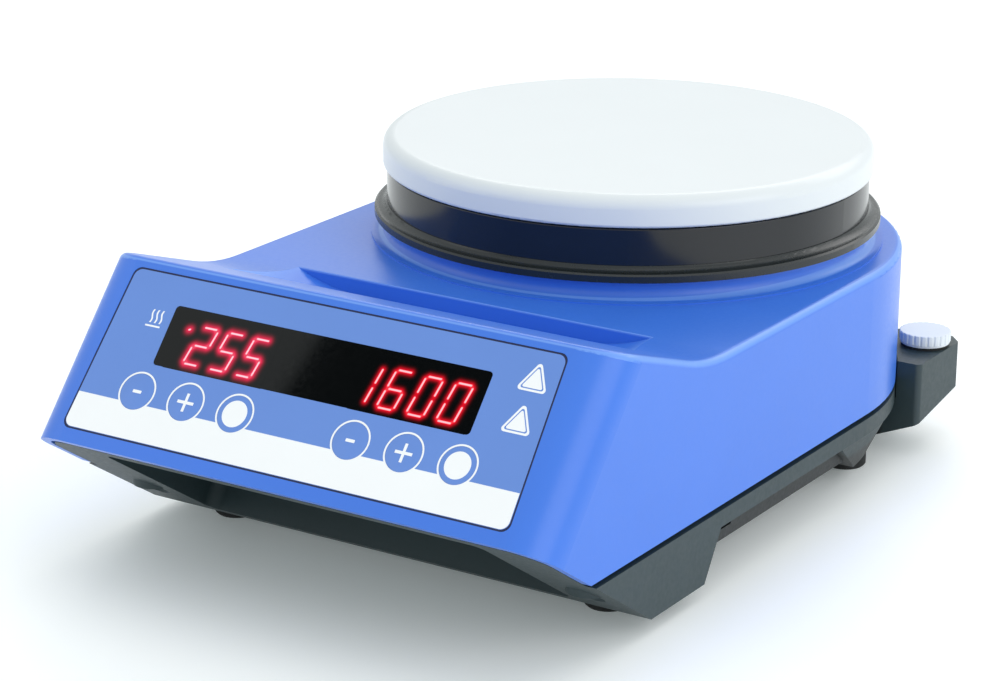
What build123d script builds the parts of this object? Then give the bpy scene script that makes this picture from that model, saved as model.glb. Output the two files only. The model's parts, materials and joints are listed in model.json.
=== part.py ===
"""Hot-plate magnetic stirrer: every loose piece is its own solid, in millimetres.

Frame: +X to the right of a person who faces the display, +Y to the rear, +Z up.
The origin is on the bench, in the housing's middle plane, near the middle of its length.
"""

from build123d import *
from math import atan2, cos, hypot, radians, sin
import os

os.makedirs("parts", exist_ok=True)

# ---------------------------------------------------------------- driving dimensions

half_width = 70.5
plate_y = 41.0  # the rear half-round shares the plate's axis
nose_y = -114.0
rear_y = plate_y + half_width
length = rear_y - nose_y

nose_z = 34.7
ridge_y = -83.1
ridge_z = 71.2
valley_y = -42.2
deck_z = 57.6
seam_z = 21.2
wall = 2.5
panel_corner_r = 10.8
top_edge_r = 1.9
valley_r = 60.0

undercut_y = -66.5  # where the sloping underside meets the front legs' soles
sole_z = 3.9
rim_top_z = 19.8
rim_low_z = 15.6
tub_low_z = 7.0
floor_z = 9.5

plate_r = 62.5
plate_top_z = 83.5
plate_low_z = 75.7
collar_r = 61.5
collar_low_z = 66.3
flange_r = 64.7
flange_low_z = 62.9
neck_r = 62.2
neck_bore_r = 59.6

running_gap = 0.02  # radial clearance of the shaft in its bearings

# ---------------------------------------------------------------- planes and helpers

panel_rise = ridge_z - nose_z
panel_run = ridge_y - nose_y
panel_angle = atan2(panel_rise, panel_run)
# local Y runs up the sloping front panel from the nose, local Z points out of it
panel_plane = Plane(
    origin=(0, nose_y, nose_z),
    x_dir=(1, 0, 0),
    z_dir=(0, -sin(panel_angle), cos(panel_angle)),
)

undercut_run = undercut_y - nose_y
undercut_drop = nose_z - sole_z
undercut_angle = atan2(undercut_drop, undercut_run)
undercut_length = hypot(undercut_run, undercut_drop)
seam_front_y = nose_y + (nose_z - seam_z) * undercut_run / undercut_drop
# local Y runs from the nose down to the legs, local Z points out of the underside
undercut_plane = Plane(
    origin=(0, nose_y, nose_z),
    x_dir=(-1, 0, 0),
    z_dir=(0, -sin(undercut_angle), -cos(undercut_angle)),
)

axis_plane = Plane(origin=(0, plate_y, 0), x_dir=(1, 0, 0), z_dir=(0, -1, 0))
plate_axis = Axis((0, plate_y, 0), (0, 0, 1))


def level(z):
    """Horizontal sketch plane at height z, centred on the plate's axis."""
    return Plane(origin=(0, plate_y, z), x_dir=(1, 0, 0), z_dir=(0, 0, 1))


def save(piece, label):
    """Label a finished piece and write it as its own STEP file."""
    piece.part.label = label
    export_step(piece.part, f"parts/{label}.step")


def u_outline(inset, front_y):
    """Plan of the housing: straight flanks closed by a half-round at the rear."""
    reach = plate_y - front_y
    with Locations((0, plate_y - reach / 2)):
        Rectangle(2 * (half_width - inset), reach)
    with Locations((0, plate_y)):
        Circle(half_width - inset)


def disc(outer, inner, low, high, mode=Mode.ADD):
    """Ring or disc about the plate's axis between two heights."""
    with BuildSketch(level(low)) as profile:
        Circle(outer)
        if inner > 0:
            Circle(inner, mode=Mode.SUBTRACT)
    extrude(profile.sketch, amount=high - low, mode=mode)


def posts(spots, radius, low, high, mode=Mode.ADD):
    """Equal upright cylinders at (x, y) spots of the bench frame."""
    with BuildSketch(Plane.XY.offset(low)) as profile:
        with Locations(*spots):
            Circle(radius)
    extrude(profile.sketch, amount=high - low, mode=mode)


def turned(points):
    """Revolve a closed outline of (radius, height) points about the plate's axis."""
    with BuildSketch(axis_plane) as profile:
        with BuildLine():
            Polyline(*points, close=True)
        make_face()
    revolve(profile.sketch, axis=plate_axis)


def block_screw_plane(angle, reach):
    """Plane across a screw of the rod block, at a distance from the plate's axis."""
    outward = (cos(radians(angle)), sin(radians(angle)), 0)
    slant = Plane(origin=(0, plate_y, block_screw_z), x_dir=(0, 0, 1), z_dir=outward)
    return slant.offset(reach)


def foil_outline(gap):
    """Outline of the front foil, a little wider at its foot, grown by a gap all round."""
    foot = foil_low_half_w + gap
    head = foil_high_half_w + gap
    Polygon(
        (-foot, foil_low_s - gap),
        (foot, foil_low_s - gap),
        (head, foil_high_s + gap),
        (-head, foil_high_s + gap),
        align=None,
    )
    fillet(vertices(), foil_corner_r)


def along_panel(edge):
    """True for the straight edges where a flank meets the sloping panel."""
    return abs(abs((edge % 0.5).dot(panel_plane.y_dir)) - 1) < 0.001


# ---------------------------------------------------------------- front panel layout

foil_low_half_w = 60.6
foil_high_half_w = 58.9
foil_low_s = 3.7
foil_high_s = 45.0
foil_t = 0.6
foil_corner_r = 2.2
foil_gap = 0.3

window_x = -0.3
window_w = 86.4
window_low_s = 22.7
window_high_s = 37.8
window_s = (window_low_s + window_high_s) / 2
window_h = window_high_s - window_low_s
window_ledge = 1.5

key_s = 15.5
key_names = ["cooler", "hotter", "heater", "slower", "faster", "stirrer"]
key_x = [-44.4, -30.5, -16.6, 15.0, 29.1, 43.1]
key_spots = [(x, key_s) for x in key_x]
key_r = 4.6
key_gap = 0.25
key_proud = 0.2
key_under = 0.8
key_well = 1.6
key_stem_r = 2.2
key_stem_end = 5.6
stem_gap = 0.4

board_front = 9.0  # depth of the display board's front face below the panel
board_t = 1.6
board_spots = [(sx * 55.5, s) for sx in (-1, 1) for s in (18.5, 41.5)]
board_post_r = 3.0
pilot_r = 1.1

# ---------------------------------------------------------------- shared positions

front_screw = (61.0, -78.0)
rear_screw = (42.0, 81.5)
screw_spots = [(sx * x, y) for sx in (-1, 1) for x, y in (front_screw, rear_screw)]
screw_boss_r = 4.5
screw_pilot_r = 1.6
screw_clear_r = 2.0
screw_head_r = 3.4
screw_seat_z = 16.0
front_boss_top_z = 50.0

connector_x = 35.0
connector_low_z = 24.0
connector_high_z = 52.0
connector_y = 97.5  # inner face of the flat connector panel
connector_t = 2.5
connector_z = (connector_low_z + connector_high_z) / 2
connector_h = connector_high_z - connector_low_z
connector_ledge = 6.5
connector_screws = [(sx * 32.0, z) for sx in (-1, 1) for z in (28.0, 48.0)]
connector_plane = Plane(origin=(0, connector_y, 0), x_dir=(-1, 0, 0), z_dir=(0, 1, 0))

groove_y = -33.2  # rear wall of the spill groove behind the ridge
groove_low_z = 53.4
groove_front_y = -54.2
groove_front_z = deck_z + (ridge_z - deck_z) * (valley_y - groove_front_y) / (valley_y - ridge_y)
groove_flat_x = 31.0
groove_end_r = 47.0

# ---------------------------------------------------------------- upper housing

with BuildPart() as cavity:
    # hollow of the housing, open all over its underside
    with BuildSketch(Plane.YZ):
        with BuildLine():
            Polyline(
                (nose_y - 30 * cos(panel_angle), nose_z - 30 * sin(panel_angle)),
                (ridge_y, ridge_z),
                (valley_y, deck_z),
                (length, deck_z),
                (length, -40),
                (nose_y - 30 * cos(panel_angle), -40),
                close=True,
            )
        make_face()
        offset(amount=-wall, kind=Kind.INTERSECTION)
    extrude(amount=half_width - wall, both=True)
    with BuildSketch(Plane.XY.offset(-45)):
        u_outline(wall, nose_y - 40)
    extrude(amount=150, mode=Mode.INTERSECT)
    fillet(edges().filter_by(along_panel), panel_corner_r - wall)
    # a wall stays under the spill groove
    with BuildSketch(Plane.YZ):
        with BuildLine():
            Polyline(
                (groove_front_y - wall, groove_front_z + 1),
                (groove_front_y - wall, groove_front_z - wall),
                (groove_y, groove_low_z - wall),
                (groove_y + wall, groove_low_z - wall),
                (groove_y + wall, ridge_z),
                (groove_front_y - wall, ridge_z),
                close=True,
            )
        make_face()
    extrude(amount=60, both=True, mode=Mode.SUBTRACT)
    # the frame around the connector panel stays solid
    with Locations((0, connector_y + 12, connector_z)):
        Box(2 * connector_x + 7, 30, connector_h + 6, mode=Mode.SUBTRACT)

with BuildPart() as groove:
    with BuildSketch(Plane.YZ):
        with BuildLine():
            Polyline(
                (groove_front_y, groove_front_z),
                (groove_y, groove_low_z),
                (groove_y, ridge_z),
                (groove_front_y, ridge_z),
                close=True,
            )
        make_face()
    extrude(amount=half_width, both=True)
    with BuildSketch(Plane.XZ):
        with Locations(*[(sx * groove_flat_x, groove_low_z + groove_end_r) for sx in (-1, 1)]):
            Circle(groove_end_r)
        with Locations((0, groove_low_z + groove_end_r)):
            Rectangle(2 * groove_flat_x, 2 * groove_end_r)
    extrude(amount=half_width * 2, both=True, mode=Mode.INTERSECT)

with BuildPart() as upper_housing:
    with BuildSketch(Plane.YZ):
        with BuildLine():
            Polyline(
                (nose_y, nose_z),
                (ridge_y, ridge_z),
                (valley_y, deck_z),
                (rear_y, deck_z),
                (rear_y, seam_z),
                (seam_front_y, seam_z),
                close=True,
            )
        make_face()
        fillet(vertices().sort_by_distance((0, valley_y, deck_z))[0], valley_r)
    extrude(amount=half_width, both=True)
    with BuildSketch(Plane.XY):
        u_outline(0, nose_y - 1)
    extrude(amount=100, mode=Mode.INTERSECT)
    fillet(edges().filter_by(along_panel), panel_corner_r)
    fillet(edges().filter_by(lambda e: e.center().Z > deck_z - 0.1), top_edge_r)
    add(groove.part, mode=Mode.SUBTRACT)
    groove_rim = edges().filter_by(
        lambda e: abs(e.center().Y - groove_y) < 0.1 and abs(e.center().Z - deck_z) < 0.3
    )
    fillet(groove_rim, 0.5)
    add(cavity.part, mode=Mode.SUBTRACT)
    # neck that carries the plate, with a hollow curve and a fine step at its foot
    with BuildSketch(axis_plane):
        with BuildLine():
            Polyline(
                (neck_r + 2.6, deck_z + 0.4),
                (neck_r + 3.3, deck_z + 0.4),
                (neck_r + 3.3, deck_z - wall),
                (neck_bore_r - 3, deck_z - wall),
                (neck_bore_r - 3, flange_low_z),
                (neck_r, flange_low_z),
                (neck_r, deck_z + 3.0),
            )
            RadiusArc((neck_r, deck_z + 3.0), (neck_r + 2.6, deck_z + 0.4), -2.6)
        make_face()
    revolve(axis=plate_axis)
    # bosses for the four long screws and the posts of the display board
    posts([s for s in screw_spots if s[1] < 0], screw_boss_r, rim_top_z, front_boss_top_z)
    with Locations(*[(sx * (half_width - 5), front_screw[1], rim_top_z + 2) for sx in (-1, 1)]):
        Box(9, 4, front_boss_top_z - rim_top_z - 4, align=(Align.CENTER, Align.CENTER, Align.MIN))
    posts([s for s in screw_spots if s[1] > 0], screw_boss_r, rim_top_z, deck_z - 1)
    posts(screw_spots, screw_pilot_r, rim_top_z - 1, rim_top_z + 18, Mode.SUBTRACT)
    disc(neck_bore_r, 0, deck_z - 10, flange_low_z + 1, Mode.SUBTRACT)
    with BuildSketch(panel_plane.offset(-board_front)):
        with Locations(*board_spots):
            Circle(board_post_r)
    extrude(amount=board_front - wall + 0.5)
    with BuildSketch(panel_plane.offset(-board_front)):
        with Locations(*board_spots):
            Circle(pilot_r)
    extrude(amount=5, mode=Mode.SUBTRACT)
    # recess of the front foil, opening of the display, wells and holes of the keys
    with BuildSketch(panel_plane):
        foil_outline(foil_gap)
    extrude(amount=-foil_t, mode=Mode.SUBTRACT)
    with BuildSketch(panel_plane):
        with Locations((window_x, window_s)):
            Rectangle(window_w - 2 * window_ledge, window_h - 2 * window_ledge)
        with Locations(*key_spots):
            Circle(key_stem_r + stem_gap)
    extrude(amount=-wall - 1, mode=Mode.SUBTRACT)
    with BuildSketch(panel_plane):
        with Locations(*key_spots):
            Circle(key_r + key_gap)
    extrude(amount=-key_well, mode=Mode.SUBTRACT)
    # flat seat and opening of the connector panel in the half-round rear
    with BuildSketch(connector_plane):
        with Locations((0, connector_z)):
            Rectangle(2 * connector_x + 0.4, connector_h + 0.4)
    extrude(amount=40, mode=Mode.SUBTRACT)
    with BuildSketch(connector_plane.offset(-8)):
        with Locations((0, connector_z)):
            Rectangle(2 * (connector_x - connector_ledge), connector_h - 5)
    extrude(amount=20, mode=Mode.SUBTRACT)
    with BuildSketch(connector_plane):
        with Locations(*connector_screws):
            Circle(pilot_r)
    extrude(amount=-3, mode=Mode.SUBTRACT)

save(upper_housing, "upper_housing")

# ---------------------------------------------------------------- front panel pieces

with BuildPart() as front_foil:
    with BuildSketch(panel_plane.offset(-foil_t)):
        foil_outline(0)
        with Locations((window_x, window_s)):
            RectangleRounded(window_w + 0.1, window_h + 0.1, 1.0, mode=Mode.SUBTRACT)
        with Locations(*key_spots):
            Circle(key_r + key_gap, mode=Mode.SUBTRACT)
    extrude(amount=foil_t)
save(front_foil, "front_foil")

with BuildPart() as display_window:
    with BuildSketch(panel_plane.offset(-foil_t)):
        with Locations((window_x, window_s)):
            RectangleRounded(window_w, window_h, 1.0)
    extrude(amount=foil_t)
save(display_window, "display_window")

for name, x in zip(key_names, key_x):
    with BuildPart() as key:
        with BuildSketch(panel_plane.offset(-key_under)):
            with Locations((x, key_s)):
                Circle(key_r)
        extrude(amount=key_under + key_proud)
        fillet(faces().sort_by(Axis(panel_plane.origin, panel_plane.z_dir))[-1].edges(), 0.15)
        with BuildSketch(panel_plane.offset(-key_stem_end)):
            with Locations((x, key_s)):
                Circle(key_stem_r)
        extrude(amount=key_stem_end - key_under)
    save(key, f"{name}_key")

module_h = 11.6
module_front = 2.6
temperature_x = -28.0
temperature_w = 30.0
speed_x = 25.4
speed_w = 32.0
modules = [
    ("temperature_display", temperature_x, temperature_w),
    ("speed_display", speed_x, speed_w),
]
for name, x, width in modules:
    with BuildPart() as module:
        with BuildSketch(panel_plane.offset(-board_front)):
            with Locations((x, window_s)):
                Rectangle(width, module_h)
        extrude(amount=board_front - module_front)
        fillet(edges().filter_by(Axis(panel_plane.origin, panel_plane.z_dir)), 0.6)
    save(module, name)

switch_w = 5.6
switch_body_t = 2.0
with BuildPart() as key_switches:
    with BuildSketch(panel_plane.offset(-board_front)):
        with Locations(*key_spots):
            Rectangle(switch_w, switch_w)
    extrude(amount=switch_body_t)
    with BuildSketch(panel_plane.offset(-board_front + switch_body_t)):
        with Locations(*key_spots):
            Circle(1.7)
    extrude(amount=board_front - switch_body_t - key_stem_end - key_under)
save(key_switches, "key_switches")

board_w = 119.0
board_low_s = 12.6
board_high_s = 44.5
with BuildPart() as display_board:
    with BuildSketch(panel_plane.offset(-board_front - board_t)):
        with Locations((0, (board_low_s + board_high_s) / 2)):
            RectangleRounded(board_w, board_high_s - board_low_s, 1.5)
        with Locations(*board_spots):
            Circle(1.4, mode=Mode.SUBTRACT)
    extrude(amount=board_t)
save(display_board, "display_board")

with BuildPart() as display_board_screws:
    with BuildSketch(panel_plane.offset(-board_front - board_t - 1.8)):
        with Locations(*board_spots):
            Circle(2.4)
    extrude(amount=1.8)
    with BuildSketch(panel_plane.offset(-board_front - board_t)):
        with Locations(*board_spots):
            Circle(pilot_r)
    extrude(amount=board_t + 4)
save(display_board_screws, "display_board_screws")

# ---------------------------------------------------------------- base tray

tub_inset = 4.5
tub_low_inset = 6.5
tub_inner_inset = 7.0
plate_t = 3.0
plate_start = 3.1
shell_gap = 0.4
front_leg_x = 46.0
leg_wall = 3.0
leg_low_y = -42.0
leg_top_y = -34.6
pocket_x = 51.5
pocket_low = 6.9
pocket_high = undercut_length - 3.0
pocket_depth = 8.0
pocket_wall = 2.5
bracket_spots = [(sx * 50.0, plate_y + sy * 20.0) for sx in (-1, 1) for sy in (-1, 1)]
bracket_low_z = 44.0
bracket_t = 1.5
power_spots = [(sx * 46.0, y) for sx in (-1, 1) for y in (-54.0, -10.0)]
power_board_z = 14.0
foot_spots = [(-53.0, -56.0), (53.0, -56.0), (-56.5, 58.0), (56.5, 58.0)]
foot_r = 5.5
foot_stud_r = 2.4
foot_stud_top_z = 6.4
block_screw_angles = (29.5, 36.5)
block_screw_z = 12.6

with BuildPart() as rear_legs:
    # tapered legs under the half-round, cut from one tapered copy of the outline
    with BuildSketch(Plane.XY.offset(rim_low_z)):
        u_outline(0.4, 0)
    with BuildSketch(Plane.XY.offset(sole_z)):
        u_outline(5.9, 0)
    loft()
    with BuildSketch(Plane.YZ):
        with BuildLine():
            Polyline((28, 15.6), (62, 15.6), (66, sole_z), (47, sole_z), close=True)
        make_face()
    extrude(amount=half_width, both=True, mode=Mode.INTERSECT)
    with Locations((0, plate_y, 10)):
        Box(2 * 48, 2 * half_width, 30, mode=Mode.SUBTRACT)

with BuildPart() as base_tray:
    # rim under the housing and the tub below it
    with BuildSketch(Plane.XY.offset(rim_low_z)):
        u_outline(0, nose_y + 5)
    extrude(amount=rim_top_z - rim_low_z)
    with BuildSketch(Plane.XY.offset(rim_low_z)):
        u_outline(tub_inset, nose_y + 5)
    with BuildSketch(Plane.XY.offset(tub_low_z)):
        u_outline(tub_low_inset, nose_y + 5)
    loft()
    # front legs, flush with the flanks, hollow from above
    with BuildSketch(Plane.YZ):
        with BuildLine():
            Polyline(
                (undercut_y - (rim_top_z - sole_z) * undercut_run / undercut_drop, rim_top_z),
                (undercut_y, sole_z),
                (leg_low_y, sole_z),
                (leg_top_y, rim_low_z),
                (leg_top_y, rim_top_z),
                close=True,
            )
        make_face()
    extrude(amount=half_width, both=True)
    with Locations((0, (leg_low_y + nose_y) / 2, (tub_low_z + sole_z) / 2 - 2)):
        Box(2 * front_leg_x, leg_low_y - nose_y + 30, tub_low_z - sole_z + 4, mode=Mode.SUBTRACT)
    add(rear_legs.part)
    # everything in front of the sloping underside goes
    with BuildSketch(undercut_plane):
        Rectangle(4 * half_width, 2.2 * length)
    extrude(amount=60, mode=Mode.SUBTRACT)
    # hollow of the tub and of the front legs
    with BuildSketch(Plane.XY.offset(floor_z)):
        u_outline(tub_inner_inset, nose_y)
    extrude(amount=40, mode=Mode.SUBTRACT)
    with BuildSketch(Plane.YZ):
        with BuildLine():
            Polyline(
                (undercut_y - 40 * undercut_run / undercut_drop, sole_z + 40),
                (undercut_y, sole_z),
                (leg_low_y, sole_z),
                (leg_top_y, rim_low_z),
                (leg_top_y, sole_z + 40),
                close=True,
            )
        make_face()
        offset(amount=-leg_wall, kind=Kind.INTERSECTION)
    extrude(amount=half_width - leg_wall, both=True, mode=Mode.SUBTRACT)
    with BuildSketch(Plane.YZ):
        with BuildLine():
            Polyline(
                (undercut_y + 6, tub_low_z),
                (leg_low_y + 6, tub_low_z),
                (leg_low_y + 6, floor_z),
                (undercut_y + 2, floor_z),
                close=True,
            )
        make_face()
    extrude(amount=front_leg_x, both=True)
    for side in (-1, 1):
        with Locations((side * (front_leg_x + leg_wall / 2), (undercut_y + leg_low_y) / 2, 9)):
            Box(leg_wall, leg_low_y - undercut_y - 1, 10)
    # sloping front plate and the shallow pocket sunk into it
    with BuildSketch(undercut_plane):
        with Locations((0, (plate_start + undercut_length) / 2)):
            Rectangle(2 * (half_width - wall - shell_gap), undercut_length - plate_start)
        fillet(vertices().group_by(Axis.Y)[0], panel_corner_r - wall + 0.4)
    extrude(amount=-plate_t)
    with BuildSketch(undercut_plane):
        with Locations((0, (pocket_low + pocket_high) / 2)):
            Rectangle(2 * (pocket_x + pocket_wall), pocket_high - pocket_low + 2 * pocket_wall)
    extrude(amount=-pocket_depth - pocket_wall)
    with BuildSketch(undercut_plane):
        with Locations((0, (pocket_low + pocket_high) / 2)):
            RectangleRounded(2 * pocket_x, pocket_high - pocket_low, 3)
    extrude(amount=-pocket_depth, mode=Mode.SUBTRACT)
    # lip inside the flanks of the housing
    for side in (-1, 1):
        with Locations((side * (half_width - wall - shell_gap - 2.2), -15, rim_low_z + 1)):
            Box(4.4, 110, rim_top_z - rim_low_z + 3, align=(Align.CENTER, Align.CENTER, Align.MIN))
    # posts of the motor bracket, of the power board and of the housing screws
    posts(bracket_spots, 4.2, floor_z - 0.5, bracket_low_z)
    posts(bracket_spots, 1.5, bracket_low_z - 14, bracket_low_z, Mode.SUBTRACT)
    posts(power_spots, 3.5, floor_z - 0.5, power_board_z)
    posts(power_spots, 1.25, power_board_z - 4, power_board_z, Mode.SUBTRACT)
    posts([s for s in screw_spots if s[1] > 0], 5.4, tub_low_z, rim_top_z)
    posts([s for s in screw_spots if s[1] < 0], 5.4, screw_seat_z - 3, rim_top_z)
    posts(screw_spots, screw_head_r + 0.3, 0, screw_seat_z, Mode.SUBTRACT)
    posts(screw_spots, screw_clear_r, screw_seat_z, rim_top_z + 1, Mode.SUBTRACT)
    # sockets of the rubber feet, holes of the rod block, side slots and floor vents
    posts(foot_spots, foot_stud_r, sole_z, foot_stud_top_z, Mode.SUBTRACT)
    for angle in block_screw_angles:
        with BuildSketch(block_screw_plane(angle, 60)):
            Circle(1.7)
        extrude(amount=7, mode=Mode.SUBTRACT)
    with Locations((0, -22.9, 11.3)):
        Box(2 * half_width, 7.4, 2.0, mode=Mode.SUBTRACT)
    with Locations(*[(8.0 * i, 12, tub_low_z) for i in range(-4, 5)]):
        Box(3, 34, 8, mode=Mode.SUBTRACT)
save(base_tray, "base_tray")

with BuildPart() as rubber_feet:
    posts(foot_spots, foot_r, 0, sole_z)
    chamfer(edges().group_by(Axis.Z)[0], 0.6)
    posts(foot_spots, foot_stud_r, sole_z, foot_stud_top_z)
save(rubber_feet, "rubber_feet")

with BuildPart() as housing_screws:
    posts(screw_spots, screw_head_r, screw_seat_z - 2.4, screw_seat_z)
    fillet(edges().group_by(Axis.Z)[0], 0.8)
    posts(screw_spots, screw_pilot_r, screw_seat_z, rim_top_z + 16)
    posts(screw_spots, 1.0, screw_seat_z - 2.4, screw_seat_z - 1.0, Mode.SUBTRACT)
save(housing_screws, "housing_screws")

# ---------------------------------------------------------------- power electronics

power_board_top_z = power_board_z + board_t

with BuildPart() as power_board:
    with BuildSketch(Plane.XY.offset(power_board_z)):
        with Locations((0, -32)):
            RectangleRounded(100, 52, 2)
        with Locations(*power_spots):
            Circle(1.5, mode=Mode.SUBTRACT)
    extrude(amount=board_t)
save(power_board, "power_board")

with BuildPart() as power_board_screws:
    posts(power_spots, 2.4, power_board_top_z, power_board_top_z + 1.8)
    posts(power_spots, 1.25, power_board_z - 4, power_board_top_z)
save(power_board_screws, "power_board_screws")

with BuildPart() as transformer:
    with Locations((-24, -34, power_board_top_z)):
        Box(30, 34, 24, align=(Align.CENTER, Align.CENTER, Align.MIN))
    chamfer(edges(), 0.8)
    with Locations((-24, -34, power_board_top_z + 3)):
        Box(38, 16, 18, align=(Align.CENTER, Align.CENTER, Align.MIN))
save(transformer, "transformer")

with BuildPart() as filter_capacitors:
    posts([(12, -46), (30, -46)], 8, power_board_top_z, power_board_top_z + 22)
    fillet(edges().group_by(Axis.Z)[-1], 1.0)
save(filter_capacitors, "filter_capacitors")

with BuildPart() as heater_relay:
    with Locations((38, -23, power_board_top_z)):
        Box(15.5, 19, 15.5, align=(Align.CENTER, Align.CENTER, Align.MIN))
    fillet(edges().group_by(Axis.Z)[-1], 0.8)
save(heater_relay, "heater_relay")

with BuildPart() as triac_heatsink:
    with Locations((16, -21, power_board_top_z)):
        Box(26, 3, 24, align=(Align.CENTER, Align.CENTER, Align.MIN))
    with Locations(*[(4 + 4.8 * i, -16.5, power_board_top_z) for i in range(6)]):
        Box(1.4, 9, 24, align=(Align.CENTER, Align.CENTER, Align.MIN))
save(triac_heatsink, "triac_heatsink")

with BuildPart() as fuse:
    with BuildSketch(Plane.YZ.offset(-20)):
        with Locations((-12.5, power_board_top_z + 3.2)):
            Circle(2.6)
    extrude(amount=20)
    with Locations(*[(x, -12.5, power_board_top_z) for x in (-18, -2)]):
        Box(4, 6, 4, align=(Align.CENTER, Align.CENTER, Align.MIN))
save(fuse, "fuse")

# ---------------------------------------------------------------- motor and magnet drive

motor_r = 27.0
motor_low_z = 15.0
motor_high_z = 42.0
end_plate_t = bracket_low_z - motor_high_z
shaft_r = 3.0
shaft_low_z = 15.8
shaft_high_z = 59.0
bearing_r = 7.5
bearing_h = 5.0
lower_bearing_z = 15.5
upper_bearing_z = 41.0
core_low_z = 22.0
core_high_z = 36.0
motor_screw_r = 21.0
motor_spots = [
    (motor_screw_r * cos(radians(a)), plate_y + motor_screw_r * sin(radians(a)))
    for a in (45, 135, 225, 315)
]

with BuildPart() as motor_can:
    turned(
        [
            (motor_r, motor_low_z),
            (motor_r, motor_high_z),
            (motor_r - 1.5, motor_high_z),
            (motor_r - 1.5, motor_low_z + 2),
            (bearing_r + 2, motor_low_z + 2),
            (bearing_r + 2, lower_bearing_z + bearing_h),
            (bearing_r, lower_bearing_z + bearing_h),
            (bearing_r, lower_bearing_z),
            (4.5, lower_bearing_z),
            (4.5, motor_low_z),
        ]
    )
    fillet(edges().filter_by(GeomType.CIRCLE).sort_by(Axis.Z)[0:4].sort_by(SortBy.RADIUS)[-1], 1.0)
save(motor_can, "motor_can")

with BuildPart() as motor_end_plate:
    turned(
        [
            (bearing_r, upper_bearing_z),
            (bearing_r + 2, upper_bearing_z),
            (bearing_r + 2, motor_high_z),
            (motor_r, motor_high_z),
            (motor_r, motor_high_z + end_plate_t),
            (bearing_r + 2, motor_high_z + end_plate_t),
            (bearing_r + 2, upper_bearing_z + bearing_h),
            (bearing_r, upper_bearing_z + bearing_h),
        ]
    )
    posts(motor_spots, 1.5, motor_high_z - 1, bracket_low_z + 1, Mode.SUBTRACT)
save(motor_end_plate, "motor_end_plate")

with BuildPart() as motor_bracket:
    with BuildSketch(level(bracket_low_z)):
        RectangleRounded(118, 56, 5)
        Circle(bearing_r + 2.5, mode=Mode.SUBTRACT)
        with Locations(*[(x, y - plate_y) for x, y in bracket_spots + motor_spots]):
            Circle(1.6, mode=Mode.SUBTRACT)
        with Locations((-38, 0), (38, 0)):
            SlotOverall(22, 8, rotation=90, mode=Mode.SUBTRACT)
    extrude(amount=bracket_t)
save(motor_bracket, "motor_bracket")

with BuildPart() as bracket_screws:
    head_z = bracket_low_z + bracket_t
    posts(bracket_spots + motor_spots, 2.7, head_z, head_z + 1.5)
    fillet(edges().group_by(Axis.Z)[-1], 0.5)
    posts(bracket_spots, 1.5, bracket_low_z - 10, head_z)
    posts(motor_spots, 1.5, motor_high_z - 0.5, head_z)
save(bracket_screws, "bracket_screws")

with BuildPart() as stator_stack:
    with BuildSketch(level(core_low_z)):
        Circle(motor_r - 1.6)
        Circle(20.6, mode=Mode.SUBTRACT)
        with PolarLocations(17.6, 6):
            Rectangle(7.2, 6)
        with PolarLocations(14.9, 6):
            Rectangle(1.8, 11)
        Circle(14.0, mode=Mode.SUBTRACT)
    extrude(amount=core_high_z - core_low_z)
save(stator_stack, "stator_stack")

with BuildPart() as stator_coils:
    with Locations((0, plate_y, (core_low_z + core_high_z) / 2)):
        with PolarLocations(18.0, 6):
            Box(4.0, 11.0, 19.0)
    fillet(edges().filter_by(GeomType.LINE), 0.9)
    with Locations((0, plate_y, (core_low_z + core_high_z) / 2)):
        with PolarLocations(18.0, 6):
            Box(8.0, 6.2, core_high_z - core_low_z + 0.2, mode=Mode.SUBTRACT)
save(stator_coils, "stator_coils")

with BuildPart() as motor_bearings:
    disc(bearing_r, shaft_r + running_gap, lower_bearing_z, lower_bearing_z + bearing_h)
    disc(bearing_r, shaft_r + running_gap, upper_bearing_z, upper_bearing_z + bearing_h)
save(motor_bearings, "motor_bearings")

with BuildPart() as motor_shaft:
    disc(shaft_r, 0, shaft_low_z, shaft_high_z)
    chamfer(edges().group_by(Axis.Z)[-1], 0.5)
save(motor_shaft, "motor_shaft")

with BuildPart() as rotor_core:
    disc(13.4, shaft_r, core_low_z, core_high_z)
    disc(9.5, shaft_r, core_low_z - 1, core_high_z + 1)
save(rotor_core, "rotor_core")

fan_z = 47.6
fan_blades = 9
with BuildPart() as cooling_fan:
    disc(32, shaft_r, fan_z, fan_z + 1.2)
    disc(8, shaft_r, fan_z, fan_z + 4.6)
    with BuildSketch(level(fan_z + 1)):
        with PolarLocations(20, fan_blades):
            Rectangle(22, 1.4, rotation=24)
    extrude(amount=3.6)
save(cooling_fan, "cooling_fan")

carrier_z = 53.2
magnet_z = 57.0
magnet_x = 24.0
magnet_spots = [(-magnet_x, 0), (magnet_x, 0)]
with BuildPart() as magnet_carrier:
    disc(36, shaft_r, carrier_z, magnet_z)
    fillet(edges().group_by(Axis.Z)[-1].sort_by(SortBy.RADIUS)[-1], 0.8)
    with BuildSketch(level(magnet_z)):
        with Locations(*magnet_spots):
            RectangleRounded(22.4, 16.4, 1)
            Rectangle(20, 14, mode=Mode.SUBTRACT)
    extrude(amount=2.5)
save(magnet_carrier, "magnet_carrier")

with BuildPart() as drive_magnets:
    with BuildSketch(level(magnet_z)):
        with Locations(*magnet_spots):
            Rectangle(20, 14)
    extrude(amount=7)
    chamfer(edges().group_by(Axis.Z)[-1], 0.5)
save(drive_magnets, "drive_magnets")

# ---------------------------------------------------------------- heating plate stack

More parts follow.
